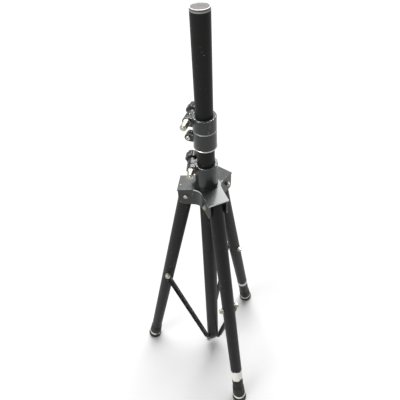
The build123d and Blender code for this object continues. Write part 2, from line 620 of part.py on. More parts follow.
def main():
    os.makedirs("parts", exist_ok=True)
    save("hub_casting", make_hub())
    save("hub_liner", make_hub_liner())
    save("leg_pivot_bolts", around(small_bolt(LEG_PIVOT_RADIUS, LEG_PIVOT_Z, ARM_HALF_WIDTH)))
    save("leg_pivot_nuts", around(small_nut(LEG_PIVOT_RADIUS, LEG_PIVOT_Z, ARM_HALF_WIDTH)))
    save("leg_pivot_washers", around(pivot_washers()))
    for number, azimuth in enumerate(LEG_AZIMUTHS, start=1):
        save(f"leg_tube_{number}", at_leg(azimuth, make_leg_tube()))
        save(f"leg_insert_{number}", at_leg(azimuth, make_leg_insert()))
        save(f"foot_{number}", floor_cut(at_leg(azimuth, make_foot())))
        save(f"strut_bolt_{number}", at_leg(azimuth, make_strut_bolt()))
        save(f"strut_nut_{number}", at_leg(azimuth, make_strut_nut()))
        save(f"strut_washers_{number}", [at_leg(azimuth, piece) for piece in make_strut_washers()])
        save(f"strut_{number}", at_strut(azimuth, make_strut()))
    save("lower_tube", make_lower_tube())
    save("bottom_block", make_bottom_block())
    save("block_screws", around(block_screw()))
    save("height_collar", make_collar())
    save("collar_liner", make_collar_liner())
    save("collar_pinch_bolt", turned(COLLAR_AZIMUTH, small_bolt(PINCH_OUT, PINCH_Z, PINCH_LUG_HALF)))
    save("collar_pinch_nut", turned(COLLAR_AZIMUTH, small_nut(PINCH_OUT, PINCH_Z, PINCH_LUG_HALF)))
    for name, azimuth, z in (("height", COLLAR_AZIMUTH, HEIGHT_CLAMP_Z), ("hub", HUB_AZIMUTH, HUB_CLAMP_Z)):
        save(f"{name}_knob", turned(azimuth, knob(z)))
        save(f"{name}_knob_stud", turned(azimuth, stud(z)))
        save(f"{name}_clamp_nut", turned(azimuth, clamp_nut(z)))
        save(f"{name}_clamp_washers", [turned(azimuth, piece) for piece in clamp_washers(z)])
    save("upper_pole", make_pole())
    save("pole_end_cap", make_pole_cap())
    save("pole_bottom_plug", make_pole_plug())


main()
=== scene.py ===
import json
import math

import bmesh
import bpy
from mathutils import Matrix, Vector, noise


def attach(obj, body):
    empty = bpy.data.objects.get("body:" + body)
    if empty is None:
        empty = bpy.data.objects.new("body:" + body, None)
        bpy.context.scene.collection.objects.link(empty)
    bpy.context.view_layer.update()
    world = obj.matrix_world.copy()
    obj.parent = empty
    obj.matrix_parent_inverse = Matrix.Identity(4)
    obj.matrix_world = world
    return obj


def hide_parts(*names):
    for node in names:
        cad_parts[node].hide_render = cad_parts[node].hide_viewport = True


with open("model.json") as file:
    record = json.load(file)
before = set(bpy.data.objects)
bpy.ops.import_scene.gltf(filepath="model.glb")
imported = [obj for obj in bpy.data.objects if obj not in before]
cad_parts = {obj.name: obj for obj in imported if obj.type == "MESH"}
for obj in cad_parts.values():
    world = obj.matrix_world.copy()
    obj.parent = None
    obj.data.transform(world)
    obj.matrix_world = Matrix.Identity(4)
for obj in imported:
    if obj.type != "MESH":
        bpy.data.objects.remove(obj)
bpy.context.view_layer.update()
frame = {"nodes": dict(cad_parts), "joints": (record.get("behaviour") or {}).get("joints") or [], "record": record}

bl_info = {
    "name": "Speaker tripod stand",
    "version": (1, 0, 0),
    "blender": (4, 5, 0),
    "location": "View3D > Sidebar > Stand",
    "description": "Finishes a speaker tripod stand around its packed frame",
    "category": "Object",
}

JOINTS = {joint["name"]: joint for joint in frame["joints"]}
MOUNTS = {mount["name"]: mount for mount in frame["record"]["mounts"]}
LEGS = (1, 2, 3)
UP = Vector((0.0, 0.0, 1.0))
MM = 0.001
FULL_TURN = 2.0 * math.pi
MERGE = 0.000004             # corners of a CAD mesh closer than this are one
FLAT = math.radians(0.4)     # faces closer in angle than this are one
VARIETIES = 97
VARIETY_STEP = Vector((0.31, 0.17, 0.23))
NORMAL_WEIGHT = 60
WHOLE = Matrix.Identity(4)


# ---- places, all taken from the frame ----
def pivot(joint):
    return Vector(JOINTS[joint]["pos_m"])


def axis_of(joint):
    return Vector(JOINTS[joint]["axis"]).normalized()


def placed(origin, y_axis, z_axis):
    """A frame from its origin, its Y and its Z."""
    x_axis = y_axis.cross(z_axis)
    place = Matrix((x_axis, y_axis, z_axis)).transposed().to_4x4()
    place.translation = origin
    return place


def leg_joint(number):
    return "leg_fold" if number == 1 else f"leg_{number}_fold"


def leg_azimuth(number):
    top = pivot(leg_joint(number))
    return math.atan2(top.y, top.x)


def leg_place(number):
    """The leg's own frame: pivot at the origin, leg down -Z, strut on the +Y side, +X outwards."""
    top = pivot(leg_joint(number))
    low = pivot(f"strut_{number}_fold")
    return placed(top, axis_of(f"strut_{number}_fold"), (top - low).normalized())


def strut_place(number):
    """The strut's own frame: upper pivot at the origin, strut down -Z."""
    top = pivot(f"strut_{number}_fold")
    low = Matrix.Rotation(leg_azimuth(number) - leg_azimuth(1), 4, "Z") @ pivot("tube_foot")
    return placed(top, axis_of(f"strut_{number}_fold"), (top - low).normalized())


def clamp_place(joint):
    """A clamp's own frame: stud along Y with its knob on -Y, +X away from the pole."""
    return placed(pivot(joint), -axis_of(joint), UP)


def own_box(node, place):
    """A CAD node's lowest and highest corners in a frame of its own."""
    back = place.inverted()
    points = [back @ vertex.co for vertex in frame["nodes"][node].data.vertices]
    low = Vector([min(point[i] for point in points) for i in range(3)])
    high = Vector([max(point[i] for point in points) for i in range(3)])
    return low, high


# ---- shader graphs ----
class Value:
    """A shader socket that sums and products can be written with."""

    def __init__(self, graph, socket):
        self.graph = graph
        self.socket = socket

    def maths(self, operation, first, second):
        return self.graph.add("ShaderNodeMath", {"operation": operation}, {0: first, 1: second})

    def __add__(self, other):
        return self.maths("ADD", self, other)

    def __radd__(self, other):
        return self.maths("ADD", other, self)

    def __sub__(self, other):
        return self.maths("SUBTRACT", self, other)

    def __rsub__(self, other):
        return self.maths("SUBTRACT", other, self)

    def __mul__(self, other):
        return self.maths("MULTIPLY", self, other)

    def __rmul__(self, other):
        return self.maths("MULTIPLY", other, self)


class Graph:
    """One material's nodes."""

    def __init__(self, name):
        self.material = bpy.data.materials.new(name)
        self.material.use_nodes = True
        self.tree = self.material.node_tree
        self.shader = self.tree.nodes["Principled BSDF"]

    def add(self, kind, settings=None, inputs=None, output=0):
        """A node of a kind: its settings first, then the values or links of its sockets."""
        node = self.tree.nodes.new(kind)
        for key, value in (settings or {}).items():
            setattr(node, key, value)
        for key, value in (inputs or {}).items():
            self.feed(node.inputs[key], value)
        return Value(self, node.outputs[output])

    def feed(self, socket, value):
        if isinstance(value, Value):
            self.tree.links.new(value.socket, socket)
        else:
            socket.default_value = value

    def attribute(self, name, output):
        return self.add("ShaderNodeAttribute", {"attribute_name": name}, output=output)

    def place(self):
        """The piece's own coordinates in metres, along its own axes."""
        return self.attribute("place", "Vector")

    def variety(self):
        """The same coordinates, moved by a different amount on each piece."""
        return self.attribute("variety", "Vector")

    # the wear-and-highlight layer: rubbed edges, plus painted highlights on the castings and on the cap's rim
    def edge_wear_and_highlight(self):
        return self.attribute("worn", "Fac")

    def stretch(self, vector, factors):
        return self.add("ShaderNodeVectorMath", {"operation": "MULTIPLY"}, {0: vector, 1: factors})

    def part(self, vector, axis):
        return self.add("ShaderNodeSeparateXYZ", {}, {0: vector}, output=axis)

    def noise(self, vector, scale, detail=3.0, roughness=0.55, distortion=0.0):
        inputs = {"Vector": vector, "Scale": scale, "Detail": detail, "Roughness": roughness,
                  "Distortion": distortion}
        return self.add("ShaderNodeTexNoise", {}, inputs, output="Fac")

    def between(self, value, low, high):
        """0 below low, 1 above high, and a smooth rise between them."""
        settings = {"interpolation_type": "SMOOTHSTEP"}
        inputs = {"Value": value, "From Min": low, "From Max": high}
        return self.add("ShaderNodeMapRange", settings, inputs)

    def mix(self, factor, first, second):
        settings = {"data_type": "RGBA"}
        return self.add("ShaderNodeMix", settings, {0: factor, 6: first, 7: second}, output=2)

    def either(self, first, second):
        return self.add("ShaderNodeMath", {"operation": "MAXIMUM"}, {0: first, 1: second})

    def bump(self, height, distance, strength):
        return self.add("ShaderNodeBump", {}, {"Height": height, "Distance": distance, "Strength": strength})

    def surface(self, **inputs):
        for key, value in inputs.items():
            self.feed(self.shader.inputs[key.replace("_", " ")], value)
        return self.material


def grey(level, warmth=0.0):
    """A colour from its linear level, a little warmer or cooler."""
    return (level * (1.0 + warmth), level, level * (1.0 - warmth), 1.0)


def colour(values):
    return (values[0], values[1], values[2], 1.0)


# ---- finishes ----
def tube_paint(name, base, sliding=False, scuffs=1.0, ring=None):
    """Satin black powder coat on steel tube: orange peel, long scuffs, rubbed rings and chips."""
    g = Graph(name)
    at = g.variety()
    cloud = g.noise(at, 9.0, 4.0)
    peel = g.noise(at, 1400.0, 2.0)
    long_lines = g.noise(g.stretch(at, (620.0, 620.0, 9.0)), 1.0, 3.0, 0.6)
    patches = g.noise(g.stretch(at, (40.0, 40.0, 12.0)), 1.0, 3.0, 0.6, 0.4)
    lines = g.between(long_lines, 0.62, 0.70) * g.between(patches, 0.50, 0.66) * scuffs
    smears = g.between(g.noise(g.stretch(at, (90.0, 90.0, 24.0)), 1.0, 5.0, 0.65, 1.2), 0.58, 0.74) * scuffs
    specks = g.between(g.noise(at, 260.0, 2.0, 0.4), 0.735, 0.76) * g.between(cloud, 0.42, 0.56)
    chips = g.between(g.noise(at, 85.0, 3.0, 0.7, 0.6), 0.745, 0.765)
    edge = g.edge_wear_and_highlight() * g.between(g.noise(at, 150.0, 3.0), 0.46, 0.60)
    bare = g.either(g.either(chips, edge), specks * 0.8)
    if ring:
        low, high = ring
        down = g.part(g.place(), "Z")
        band = g.between(down, low, low + 0.0003) * (1.0 - g.between(down, high, high + 0.0003))
        bare = g.either(bare, band * 0.55)
    paint = g.mix(cloud, grey(base * 0.75), grey(base * 1.35, 0.03))
    paint = g.mix(smears * 0.40, paint, grey(base * 3.4, 0.05))
    paint = g.mix(lines * 0.65, paint, grey(base * 7.5, 0.02))
    if sliding:
        rings = g.noise(g.stretch(at, (14.0, 14.0, 900.0)), 1.0, 2.0, 0.5)
        paint = g.mix(g.between(rings, 0.60, 0.72) * 0.25, paint, grey(base * 4.0))
    paint = g.mix(bare, paint, grey(0.34, 0.04))
    rough = 0.40 + cloud * 0.16 + smears * 0.10 + lines * 0.10 - bare * 0.10
    height = peel * 0.5 - bare * 1.2 - lines * 0.35
    return g.surface(Base_Color=paint, Roughness=rough, Metallic=bare * 0.85, IOR=1.22,
                     Normal=g.bump(height, 0.00012, 0.35))


def cast_paint(name, base):
    """Semi-gloss dark grey paint on a die casting, rubbed to bright metal on its edges; on the hub's plate sides
    and the collar's seam and bead that bright metal is a painted highlight.
    """
    g = Graph(name)
    at = g.variety()
    cloud = g.noise(at, 24.0, 4.0)
    pebble = g.noise(at, 820.0, 3.0)
    swirl = g.noise(g.stretch(at, (260.0, 260.0, 60.0)), 1.0, 3.0, 0.6, 0.8)
    scratches = g.between(swirl, 0.66, 0.72) * g.between(cloud, 0.44, 0.60)
    edge_noise = g.noise(at, 120.0, 3.0, 0.6)
    # edge mask from the wear-and-highlight layer: real edge wear, and painted highlights on plate sides, seam and
    # bead
    edge = g.edge_wear_and_highlight() * g.between(edge_noise, 0.22, 0.40)
    chips = g.between(g.noise(at, 140.0, 2.0, 0.6, 0.4), 0.745, 0.765)
    bare = g.either(edge, chips)
    paint = g.mix(cloud, colour([c * 0.80 for c in base]), colour([c * 1.25 for c in base]))
    paint = g.mix(scratches * 0.5, paint, grey(0.22))
    dust = g.between(g.noise(at, 60.0, 5.0, 0.7), 0.55, 0.75)
    paint = g.mix(dust * 0.05, paint, (0.20, 0.18, 0.14, 1.0))
    # bright metal colour: edge wear and chips, and a painted highlight where the layer marks plate sides, seam and
    # bead
    paint = g.mix(bare, paint, grey(0.62, 0.02))
    rough = 0.27 + cloud * 0.08 + dust * 0.10 - bare * 0.02
    height = pebble * 0.6 - scratches * 0.3 - bare * 0.5
    return g.surface(Base_Color=paint, Roughness=rough, Metallic=bare * 0.9, Specular_IOR_Level=0.27,
                     Coat_Weight=0.24, Coat_Roughness=0.14, Normal=g.bump(height, 0.00018, 0.4))


def zinc(name, base):
    """Bright zinc plate, streaked and a little yellowed, with patches of grime."""
    g = Graph(name)
    at = g.variety()
    cloud = g.noise(at, 130.0, 4.0, 0.6)
    fine = g.noise(g.stretch(at, (1500.0, 300.0, 1500.0)), 1.0, 2.0)
    grime = g.between(g.noise(at, 420.0, 4.0, 0.7, 0.6), 0.58, 0.74)
    metal = g.mix(cloud, colour([c * 0.78 for c in base]), colour(base))
    metal = g.mix(grime * 0.45, metal, (0.20, 0.15, 0.10, 1.0))
    rough = 0.24 + cloud * 0.18 + grime * 0.25
    return g.surface(Base_Color=metal, Roughness=rough, Metallic=1.0 - grime * 0.4,
                     Normal=g.bump(fine - grime * 0.6, 0.00008, 0.4))


def moulded(name, base, rough, gloss=0.5, grain=0.4, polish_and_highlight=0.25):
    """Moulded plastic with a fine spark texture and handling marks."""
    g = Graph(name)
    at = g.variety()
    cloud = g.noise(at, 60.0, 4.0)
    spark = g.noise(at, 1900.0, 2.0)
    rub = g.between(g.noise(g.stretch(at, (300.0, 90.0, 300.0)), 1.0, 4.0, 0.6, 0.8), 0.60, 0.74)
    body = g.mix(cloud, colour([c * 0.82 for c in base]), colour([c * 1.2 for c in base]))
    body = g.mix(rub * 0.3, body, colour([min(1.0, c * 2.6 + 0.02) for c in base]))
    # edges lightened by polish_and_highlight: edge wear on knobs and bushes, a painted highlight on the cap's rim
    edge = g.edge_wear_and_highlight() * polish_and_highlight
    body = g.mix(edge, body, colour([min(1.0, c * 2.2 + 0.04 + polish_and_highlight * 0.3) for c in base]))
    return g.surface(Base_Color=body, Roughness=rough + cloud * 0.10 + rub * 0.12 - edge * 0.2,
                     Specular_IOR_Level=gloss, Normal=g.bump(spark, 0.0001, grain))


def foot_rubber(name, base, lip):
    """Black rubber that greys with dust, with a pale band on the lip that is painted highlight and dust."""
    g = Graph(name)
    at = g.variety()
    low, high = lip
    down = g.part(g.place(), "Z")
    cloud = g.noise(at, 55.0, 5.0, 0.6)
    skin = g.noise(at, 900.0, 3.0)
    scrapes = g.between(g.noise(g.stretch(at, (240.0, 240.0, 60.0)), 1.0, 4.0, 0.7, 0.8), 0.56, 0.70)
    # pale band on the lip: a painted highlight on the upward-facing lip, with dust
    on_lip = g.between(down, low, low + 0.0006) * (1.0 - g.between(down, high, high + 0.0022))
    dust_and_lip_highlight = g.either(on_lip * g.between(cloud, 0.30, 0.46), scrapes * 0.22)
    body = g.mix(cloud, colour([c * 0.75 for c in base]), colour([c * 1.4 for c in base]))
    body = g.mix(dust_and_lip_highlight, body, (0.52, 0.50, 0.45, 1.0))
    return g.surface(Base_Color=body, Roughness=0.62 + cloud * 0.2, Specular_IOR_Level=0.3,
                     Normal=g.bump(skin + scrapes * 0.5, 0.0002, 0.4))


def paper_tape(name, base):
    """White cloth tape, dirty in patches."""
    g = Graph(name)
    at = g.variety()
    weave = g.noise(g.stretch(at, (1.0, 1.0, 0.35)), 2400.0, 1.0)
    dirt = g.between(g.noise(at, 110.0, 5.0, 0.65), 0.52, 0.72)
    crease = g.noise(g.stretch(at, (70.0, 70.0, 320.0)), 1.0, 3.0, 0.6, 1.0)
    body = g.mix(dirt * 0.35, colour(base), (0.42, 0.39, 0.33, 1.0))
    return g.surface(Base_Color=body, Roughness=0.7 + dirt * 0.15, Specular_IOR_Level=0.25,
                     Normal=g.bump(weave * 0.3 + crease, 0.0003, 0.4))


def floor_finish(name, level):
    g = Graph(name)
    at = g.add("ShaderNodeTexCoord", {}, {}, output="Object")
    cloud = g.noise(at, 0.8, 2.0)
    return g.surface(Base_Color=g.mix(cloud, grey(level * 0.985), grey(level)), Roughness=0.9,
                     Specular_IOR_Level=0.1)


# ---- shapes ----
def read_node(node, place):
    """A merged copy of a CAD node's mesh, moved into a frame of its own."""
    shape = bmesh.new()
    shape.from_mesh(frame["nodes"][node].data)
    bmesh.ops.remove_doubles(shape, verts=shape.verts, dist=MERGE)
    bmesh.ops.dissolve_limit(shape, angle_limit=FLAT, use_dissolve_boundaries=False,
                             verts=shape.verts, edges=shape.edges, delimit={"NORMAL"})
    bmesh.ops.transform(shape, matrix=place.inverted(), verts=shape.verts)
    return shape


def soften(shape, width, segments=2, angle=32.0):
    """Rounds the sharp edges, and marks the new faces as rubbed."""
    shape.loops.layers.float.new("worn")
    limit = math.radians(angle)
    sharp = [edge for edge in shape.edges
             if len(edge.link_faces) == 2 and edge.calc_face_angle(0.0) > limit]
    made = bmesh.ops.bevel(shape, geom=sharp, offset=width, offset_type="OFFSET", segments=segments,
                           profile=0.5, affect="EDGES", clamp_overlap=True, material=-1)
    for face in made["faces"]:
        rub(shape, face, 1.0)
    return shape


def rub(shape, face, amount):
    """Marks one face in the wear-and-highlight layer: edge wear on softened edges, a painted highlight on the
    castings' plate sides, seam and bead and on the cap's rim.
    """
    worn = shape.loops.layers.float["worn"]
    for loop in face.loops:
        loop[worn] = amount


def height_span(face):
    heights = [vertex.co.z for vertex in face.verts]
    return min(heights), max(heights)


def turned(outline, steps=96, closed=True):
    """A shape turned about Z from an (r, z) outline in metres."""
    shape = bmesh.new()
    points = [shape.verts.new((r, 0.0, z)) for r, z in outline]
    pairs = list(zip(points, points[1:]))
    if closed:
        pairs.append((points[-1], points[0]))
    rims = [shape.edges.new(pair) for pair in pairs]
    bmesh.ops.spin(shape, geom=points + rims, cent=(0.0, 0.0, 0.0), axis=(0.0, 0.0, 1.0),
                   angle=FULL_TURN, steps=steps, use_merge=True)
    bmesh.ops.remove_doubles(shape, verts=shape.verts, dist=0.0000005)
    bmesh.ops.recalc_face_normals(shape, faces=shape.faces)
    return shape


def finished(name, shape, place, nodes, body, material):
    """Puts a shape made in a frame of its own in its place, riding on a body."""
    number = sum(ord(letter) * (index + 1) for index, letter in enumerate(name)) % VARIETIES
    own = shape.verts.layers.float_vector.new("place")
    varied = shape.verts.layers.float_vector.new("variety")
    for vertex in shape.verts:
        vertex[own] = vertex.co
        vertex[varied] = vertex.co + VARIETY_STEP * number
    if shape.loops.layers.float.get("worn") is None:
        shape.loops.layers.float.new("worn")
    bmesh.ops.transform(shape, matrix=place, verts=shape.verts)
    mesh = bpy.data.meshes.new(name)
    shape.to_mesh(mesh)
    shape.free()
    mesh.polygons.foreach_set("use_smooth", [True] * len(mesh.polygons))
    piece = bpy.data.objects.new(name, mesh)
    bpy.context.scene.collection.objects.link(piece)
    mesh.materials.append(material)
    normals = piece.modifiers.new("Weighted Normal", "WEIGHTED_NORMAL")
    normals.keep_sharp = True
    normals.weight = NORMAL_WEIGHT
    if nodes:
        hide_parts(*nodes)
    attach(piece, body)
    return piece


def body_of(node):
    bodies = frame["record"]["behaviour"]["bodies"]
    return next(body for body, members in bodies.items() if node in members)


def refined(node, place, material, width, segments=2, angle=32.0):
    """A CAD node's own shape with its edges rounded."""
    shape = soften(read_node(node, place), width, segments, angle)
    return finished(f"{node}_finished", shape, place, [node], body_of(node), material)


def finish_of(name, make, *values, **options):
    """A material, made the first time that it is asked for."""
    return bpy.data.materials.get(name) or make(name, *values, **options)


# ---- what a user may change ----
def tone(label, about, value):
    return bpy.props.FloatProperty(name=label, description=about, default=value, min=0.0, max=1.0,
                                   subtype="FACTOR")


def length(label, about, value):
    return bpy.props.FloatProperty(name=label, description=about, default=value, min=0.0,
                                   unit="LENGTH", precision=5)


def paint(label, about, value):
    return bpy.props.FloatVectorProperty(name=label, description=about, default=value, min=0.0,
                                         max=1.0, size=3, subtype="COLOR")


class StandSizes(bpy.types.PropertyGroup):
    """Sizes of the details that the frame leaves open."""

    tube_wall: length("Leg tube wall", "Wall of the leg and centre tubes", 0.0012)
    pole_wall: length("Pole wall", "Wall of the sliding pole", 0.0015)
    cast_edge: length("Casting edge", "Rounding on the edges of the castings", 0.0011)
    pressed_edge: length("Strut edge", "Rounding on the edges of the struts", 0.0006)
    turned_edge: length("Hardware edge", "Rounding on the edges of bolts and nuts", 0.0005)
    moulded_edge: length("Moulded edge", "Rounding on the edges of knobs", 0.0006)
    rubber_edge: length("Rubber edge", "Rounding on the edges of feet", 0.0004)
    bush_edge: length("Bush edge", "Rounding on the edges of liners, inserts and leg tubes", 0.0003)
    tape_thick: length("Tape thickness", "Thickness of the tape on the front leg", 0.00025)


class StandColours(bpy.types.PropertyGroup):
    """Colours and grey levels of the finishes."""

    tube: tone("Tube paint", "Level of the powder coat on the legs", 0.0050)
    pole: tone("Pole paint", "Level of the powder coat on the pole", 0.0055)
    cast: paint("Casting paint", "Paint on the hub, collar and block", (0.0070, 0.0082, 0.0082))
    strut: tone("Strut paint", "Level of the paint on the struts", 0.007)
    metal: paint("Zinc plate", "Plating on bolts, nuts and studs", (0.46, 0.44, 0.38))
    knob: paint("Knob plastic", "Moulded knobs", (0.004, 0.0038, 0.0035))
    cap: paint("Cap plastic", "Moulded cap on the pole", (0.045, 0.041, 0.038))
    nylon: paint("Nylon", "Liners, inserts and guides", (0.030, 0.031, 0.032))
    rubber: paint("Foot rubber", "Moulded feet", (0.0065, 0.0062, 0.0058))
    tape: paint("Tape", "Cloth tape on the legs", (0.50, 0.49, 0.46))


class StandStudio(bpy.types.PropertyGroup):
    """The floor, lights and camera."""

    floor: tone("Floor", "Level of the floor", 0.255)
    world: bpy.props.FloatProperty(name="Ambient", description="Strength of the surroundings",
                                   default=0.7, min=0.0)
    overhead: bpy.props.FloatProperty(name="Overhead", description="Strength of the wide light above",
                                      default=10.5, min=0.0)
    side: bpy.props.FloatProperty(name="Side", description="Strength of the light from the left",
                                  default=2.8, min=0.0)


def sizes():
    return bpy.context.scene.stand_sizes


def colours():
    return bpy.context.scene.stand_colours


def zinc_plate():
    return finish_of("zinc_plate", zinc, colours().metal)


def casting_paint():
    return finish_of("casting_paint", cast_paint, colours().cast)


class StandOperator:
    """What every step of the build shares."""

    bl_options = {"REGISTER", "UNDO"}

    def execute(self, context):
        self.build()
        return {"FINISHED"}


class STAND_OT_stage(StandOperator, bpy.types.Operator):
    """Lay the floor, hang the lights and set the camera"""

    bl_idname = "stand.stage"
    bl_label = "Stage"

    FLOOR_HALF = 40.0
    EYE = (-0.2333, -0.5889, 1.4230)
    HEADING = math.radians(69.99)
    PITCH = math.radians(46.54)
    ROLL = math.radians(-3.44)
    LENS = 35.375

    def build(self):
        studio = bpy.context.scene.stand_studio
        self.lay_floor(studio)
        self.light_world(studio)
        self.hang(studio)
        self.set_camera()

    def lay_floor(self, studio):
        shape = bmesh.new()
        bmesh.ops.create_grid(shape, x_segments=16, y_segments=16, size=self.FLOOR_HALF)
        mesh = bpy.data.meshes.new("floor")
        shape.to_mesh(mesh)
        shape.free()
        floor = bpy.data.objects.new("floor", mesh)
        bpy.context.scene.collection.objects.link(floor)
        mesh.materials.append(finish_of("floor_paint", floor_finish, studio.floor))

    def light_world(self, studio):
        world = bpy.data.worlds.new("studio")
        bpy.context.scene.world = world
        world.use_nodes = True
        sky = world.node_tree.nodes["Background"]
        sky.inputs["Color"].default_value = (1.0, 1.0, 1.0, 1.0)
        sky.inputs["Strength"].default_value = studio.world
        bpy.context.scene.view_settings.view_transform = "Standard"

    def wide_light(self, name, azimuth, elevation, spread, strength):
        """A distant soft light from a direction given in degrees."""
        light = bpy.data.lights.new(name, "SUN")
        light.energy = strength
        light.angle = math.radians(spread)
        lamp = bpy.data.objects.new(name, light)
        bpy.context.scene.collection.objects.link(lamp)
        turn, lift = math.radians(azimuth), math.radians(elevation)
        toward = Vector((math.cos(turn) * math.cos(lift), math.sin(turn) * math.cos(lift), math.sin(lift)))
        lamp.rotation_euler = toward.to_track_quat("Z", "Y").to_euler()

    def hang(self, studio):
        self.wide_light("overhead", 61.0, 64.0, 48.0, studio.overhead)
        self.wide_light("side", 194.0, 36.0, 34.0, studio.side)

    def set_camera(self):
        camera = bpy.data.objects.new("camera", bpy.data.cameras.new("camera"))
        bpy.context.scene.collection.objects.link(camera)
        turn, tip = self.HEADING, self.PITCH
        forward = Vector((math.cos(turn) * math.cos(tip), math.sin(turn) * math.cos(tip), -math.sin(tip)))
        right = Vector((math.sin(turn), -math.cos(turn), 0.0))
        up = right.cross(forward)
        upright = math.cos(self.ROLL) * up - math.sin(self.ROLL) * right
        camera.matrix_world = placed(Vector(self.EYE), upright, -forward)
        camera.data.lens = self.LENS
        camera.data.clip_end = 60.0
        bpy.context.scene.camera = camera


class STAND_OT_tubes(StandOperator, bpy.types.Operator):
    """Make the three leg tubes, the centre tube and the sliding pole"""

    bl_idname = "stand.tubes"
    bl_label = "Tubes"

    SHARP = 50.0
    EDGE = 0.0004
    GROOVE = 0.0003
    GROOVE_WIDE = 0.0016
    RUBBED_TOP = 0.0028

    def build(self):
        leg_paint = finish_of("leg_tube_paint", tube_paint, colours().tube)
        for number in LEGS:
            refined(f"leg_tube_{number}", leg_place(number), leg_paint, sizes().bush_edge, 1, self.SHARP)
        self.centre_tube(finish_of("centre_tube_paint", tube_paint, colours().tube, True, 0.6))
        top = own_box("upper_pole", WHOLE)[1].z
        rubbed = (top - self.RUBBED_TOP, top + self.EDGE)
        self.pole(finish_of("pole_paint", tube_paint, colours().pole, True, 0.8, rubbed))

    def wall(self, radius, thick, low, high, cuts=()):
        edge = self.EDGE
        inner = radius - thick
        outline = [(inner, low), (radius - edge, low), (radius, low + edge)]
        for bottom, top in cuts:
            depth = radius - self.GROOVE
            outline += [(radius, bottom), (depth, bottom + self.GROOVE),
                        (depth, top - self.GROOVE), (radius, top)]
        outline += [(radius, high - edge), (radius - edge, high), (inner, high)]
        return turned(outline)

    def centre_tube(self, paint_made):
        low, high = own_box("lower_tube", WHOLE)
        shape = self.wall(high.x, sizes().tube_wall, low.z, high.z)
        finished("centre_tube_finished", shape, WHOLE, ["lower_tube"], "centre_tube",
                 paint_made)

    def pole(self, paint_made):
        low, high = own_box("upper_pole", WHOLE)
        spigot = MOUNTS["pole_spigot"]
        foot = spigot["pos_m"][2] - spigot["dims"]["length_mm"] * MM / 2.0
        shape = self.wall(high.x, sizes().pole_wall, low.z, high.z, [(foot - self.GROOVE_WIDE, foot)])
        finished("pole_finished", shape, WHOLE, ["upper_pole"], "pole", paint_made)


class STAND_OT_castings(StandOperator, bpy.types.Operator):
    """Round and paint the hub, the height collar and the bottom block"""

    bl_idname = "stand.castings"
    bl_label = "Castings"

    PLATE_SIDE = 0.0034          # tallest side face of an arm's plate
    PLATE_SPAN = (0.012, 0.026)  # where the plates lie over the leg pivots
    SEAM_DROP = 0.0036
    SEAM_SPARE = 0.0002
    BEAD = 0.0025
    PAINTED_HIGHLIGHT = 0.7

    def build(self):
        refined("bottom_block", WHOLE, casting_paint(), sizes().cast_edge, 3)
        self.collar()
        self.hub()

    def collar(self):
        """The height collar, with a painted highlight along its seam's slope and along the bead at its lower edge.
        """
        shape = soften(read_node("height_collar", WHOLE), sizes().cast_edge * 0.5, 3)
        seam = own_box("lower_tube", WHOLE)[1].z
        low = own_box("height_collar", WHOLE)[0].z
        for face in shape.faces:
            bottom, top = height_span(face)
            # painted highlight: the seam's upward slope and the bead at the collar's foot get the bright-metal
            # colour
            slope = face.normal.z > 0.3 and bottom > seam - self.SEAM_DROP and top < seam + self.SEAM_SPARE
            bead = face.normal.z > -0.5 and top < low + self.BEAD
            if slope or bead:
                rub(shape, face, self.PAINTED_HIGHLIGHT)
        finished("height_collar_finished", shape, WHOLE, ["height_collar"], "centre_tube",
                 casting_paint())

    def hub(self):
        """The hub, with a painted highlight along the sides of its arms' plates."""
        shape = soften(read_node("hub_casting", WHOLE), sizes().cast_edge, 3)
        low, high = (pivot("leg_fold").z + rise for rise in self.PLATE_SPAN)
        for face in shape.faces:
            bottom, top = height_span(face)
            # painted highlight on the upright side faces of the arms' plates
            upright = abs(face.normal.z) < 0.3 and top - bottom < self.PLATE_SIDE
            if upright and bottom > low and top < high:
                rub(shape, face, self.PAINTED_HIGHLIGHT)
        finished("hub_casting_finished", shape, WHOLE, ["hub_casting"], "hub",
                 casting_paint())


class STAND_OT_struts(StandOperator, bpy.types.Operator):
    """Round and paint the three channel struts"""

    bl_idname = "stand.struts"
    bl_label = "Struts"

    def build(self):
        paint_made = finish_of("pressed_strut_paint", tube_paint, colours().strut)
        for number in LEGS:
            refined(f"strut_{number}", strut_place(number), paint_made, sizes().pressed_edge)


class STAND_OT_feet(StandOperator, bpy.types.Operator):
    """Mould the three rubber feet, with their grooves and a pale band on each lip, painted highlight and dust"""

    bl_idname = "stand.feet"
    bl_label = "Feet"

    LIP_LOW = 0.0230             # heights of the pale lip band, painted highlight and dust, above the sole's lowest point
    LIP_HIGH = 0.0300

    def build(self):
        place = leg_place(1)
        sole = own_box("foot_1", place)[0].z
        lip = (sole + self.LIP_LOW, sole + self.LIP_HIGH)
        rubber = finish_of("rubber_moulding", foot_rubber, colours().rubber, lip)
        for number in LEGS:
            refined(f"foot_{number}", leg_place(number), rubber, sizes().rubber_edge)


class STAND_OT_knobs(StandOperator, bpy.types.Operator):
    """Mould the two scalloped clamp knobs"""

    bl_idname = "stand.knobs"
    bl_label = "Knobs"

    def build(self):
        plastic = finish_of("knob_moulding", moulded, colours().knob, 0.30)
        for joint, node in (("height_knob_turn", "height_knob"), ("hub_knob_turn", "hub_knob")):
            refined(node, clamp_place(joint), plastic, sizes().moulded_edge, 3)


class STAND_OT_fasteners(StandOperator, bpy.types.Operator):
    """Make the bolts, nuts, washers, studs and screws"""

    bl_idname = "stand.fasteners"
    bl_label = "Fasteners"

    def build(self):
        edge = sizes().turned_edge
        for row in frame["record"]["subparts"]:
            if row["material_slot"] == "zinc_steel":
                refined(row["node"], WHOLE, zinc_plate(), edge)


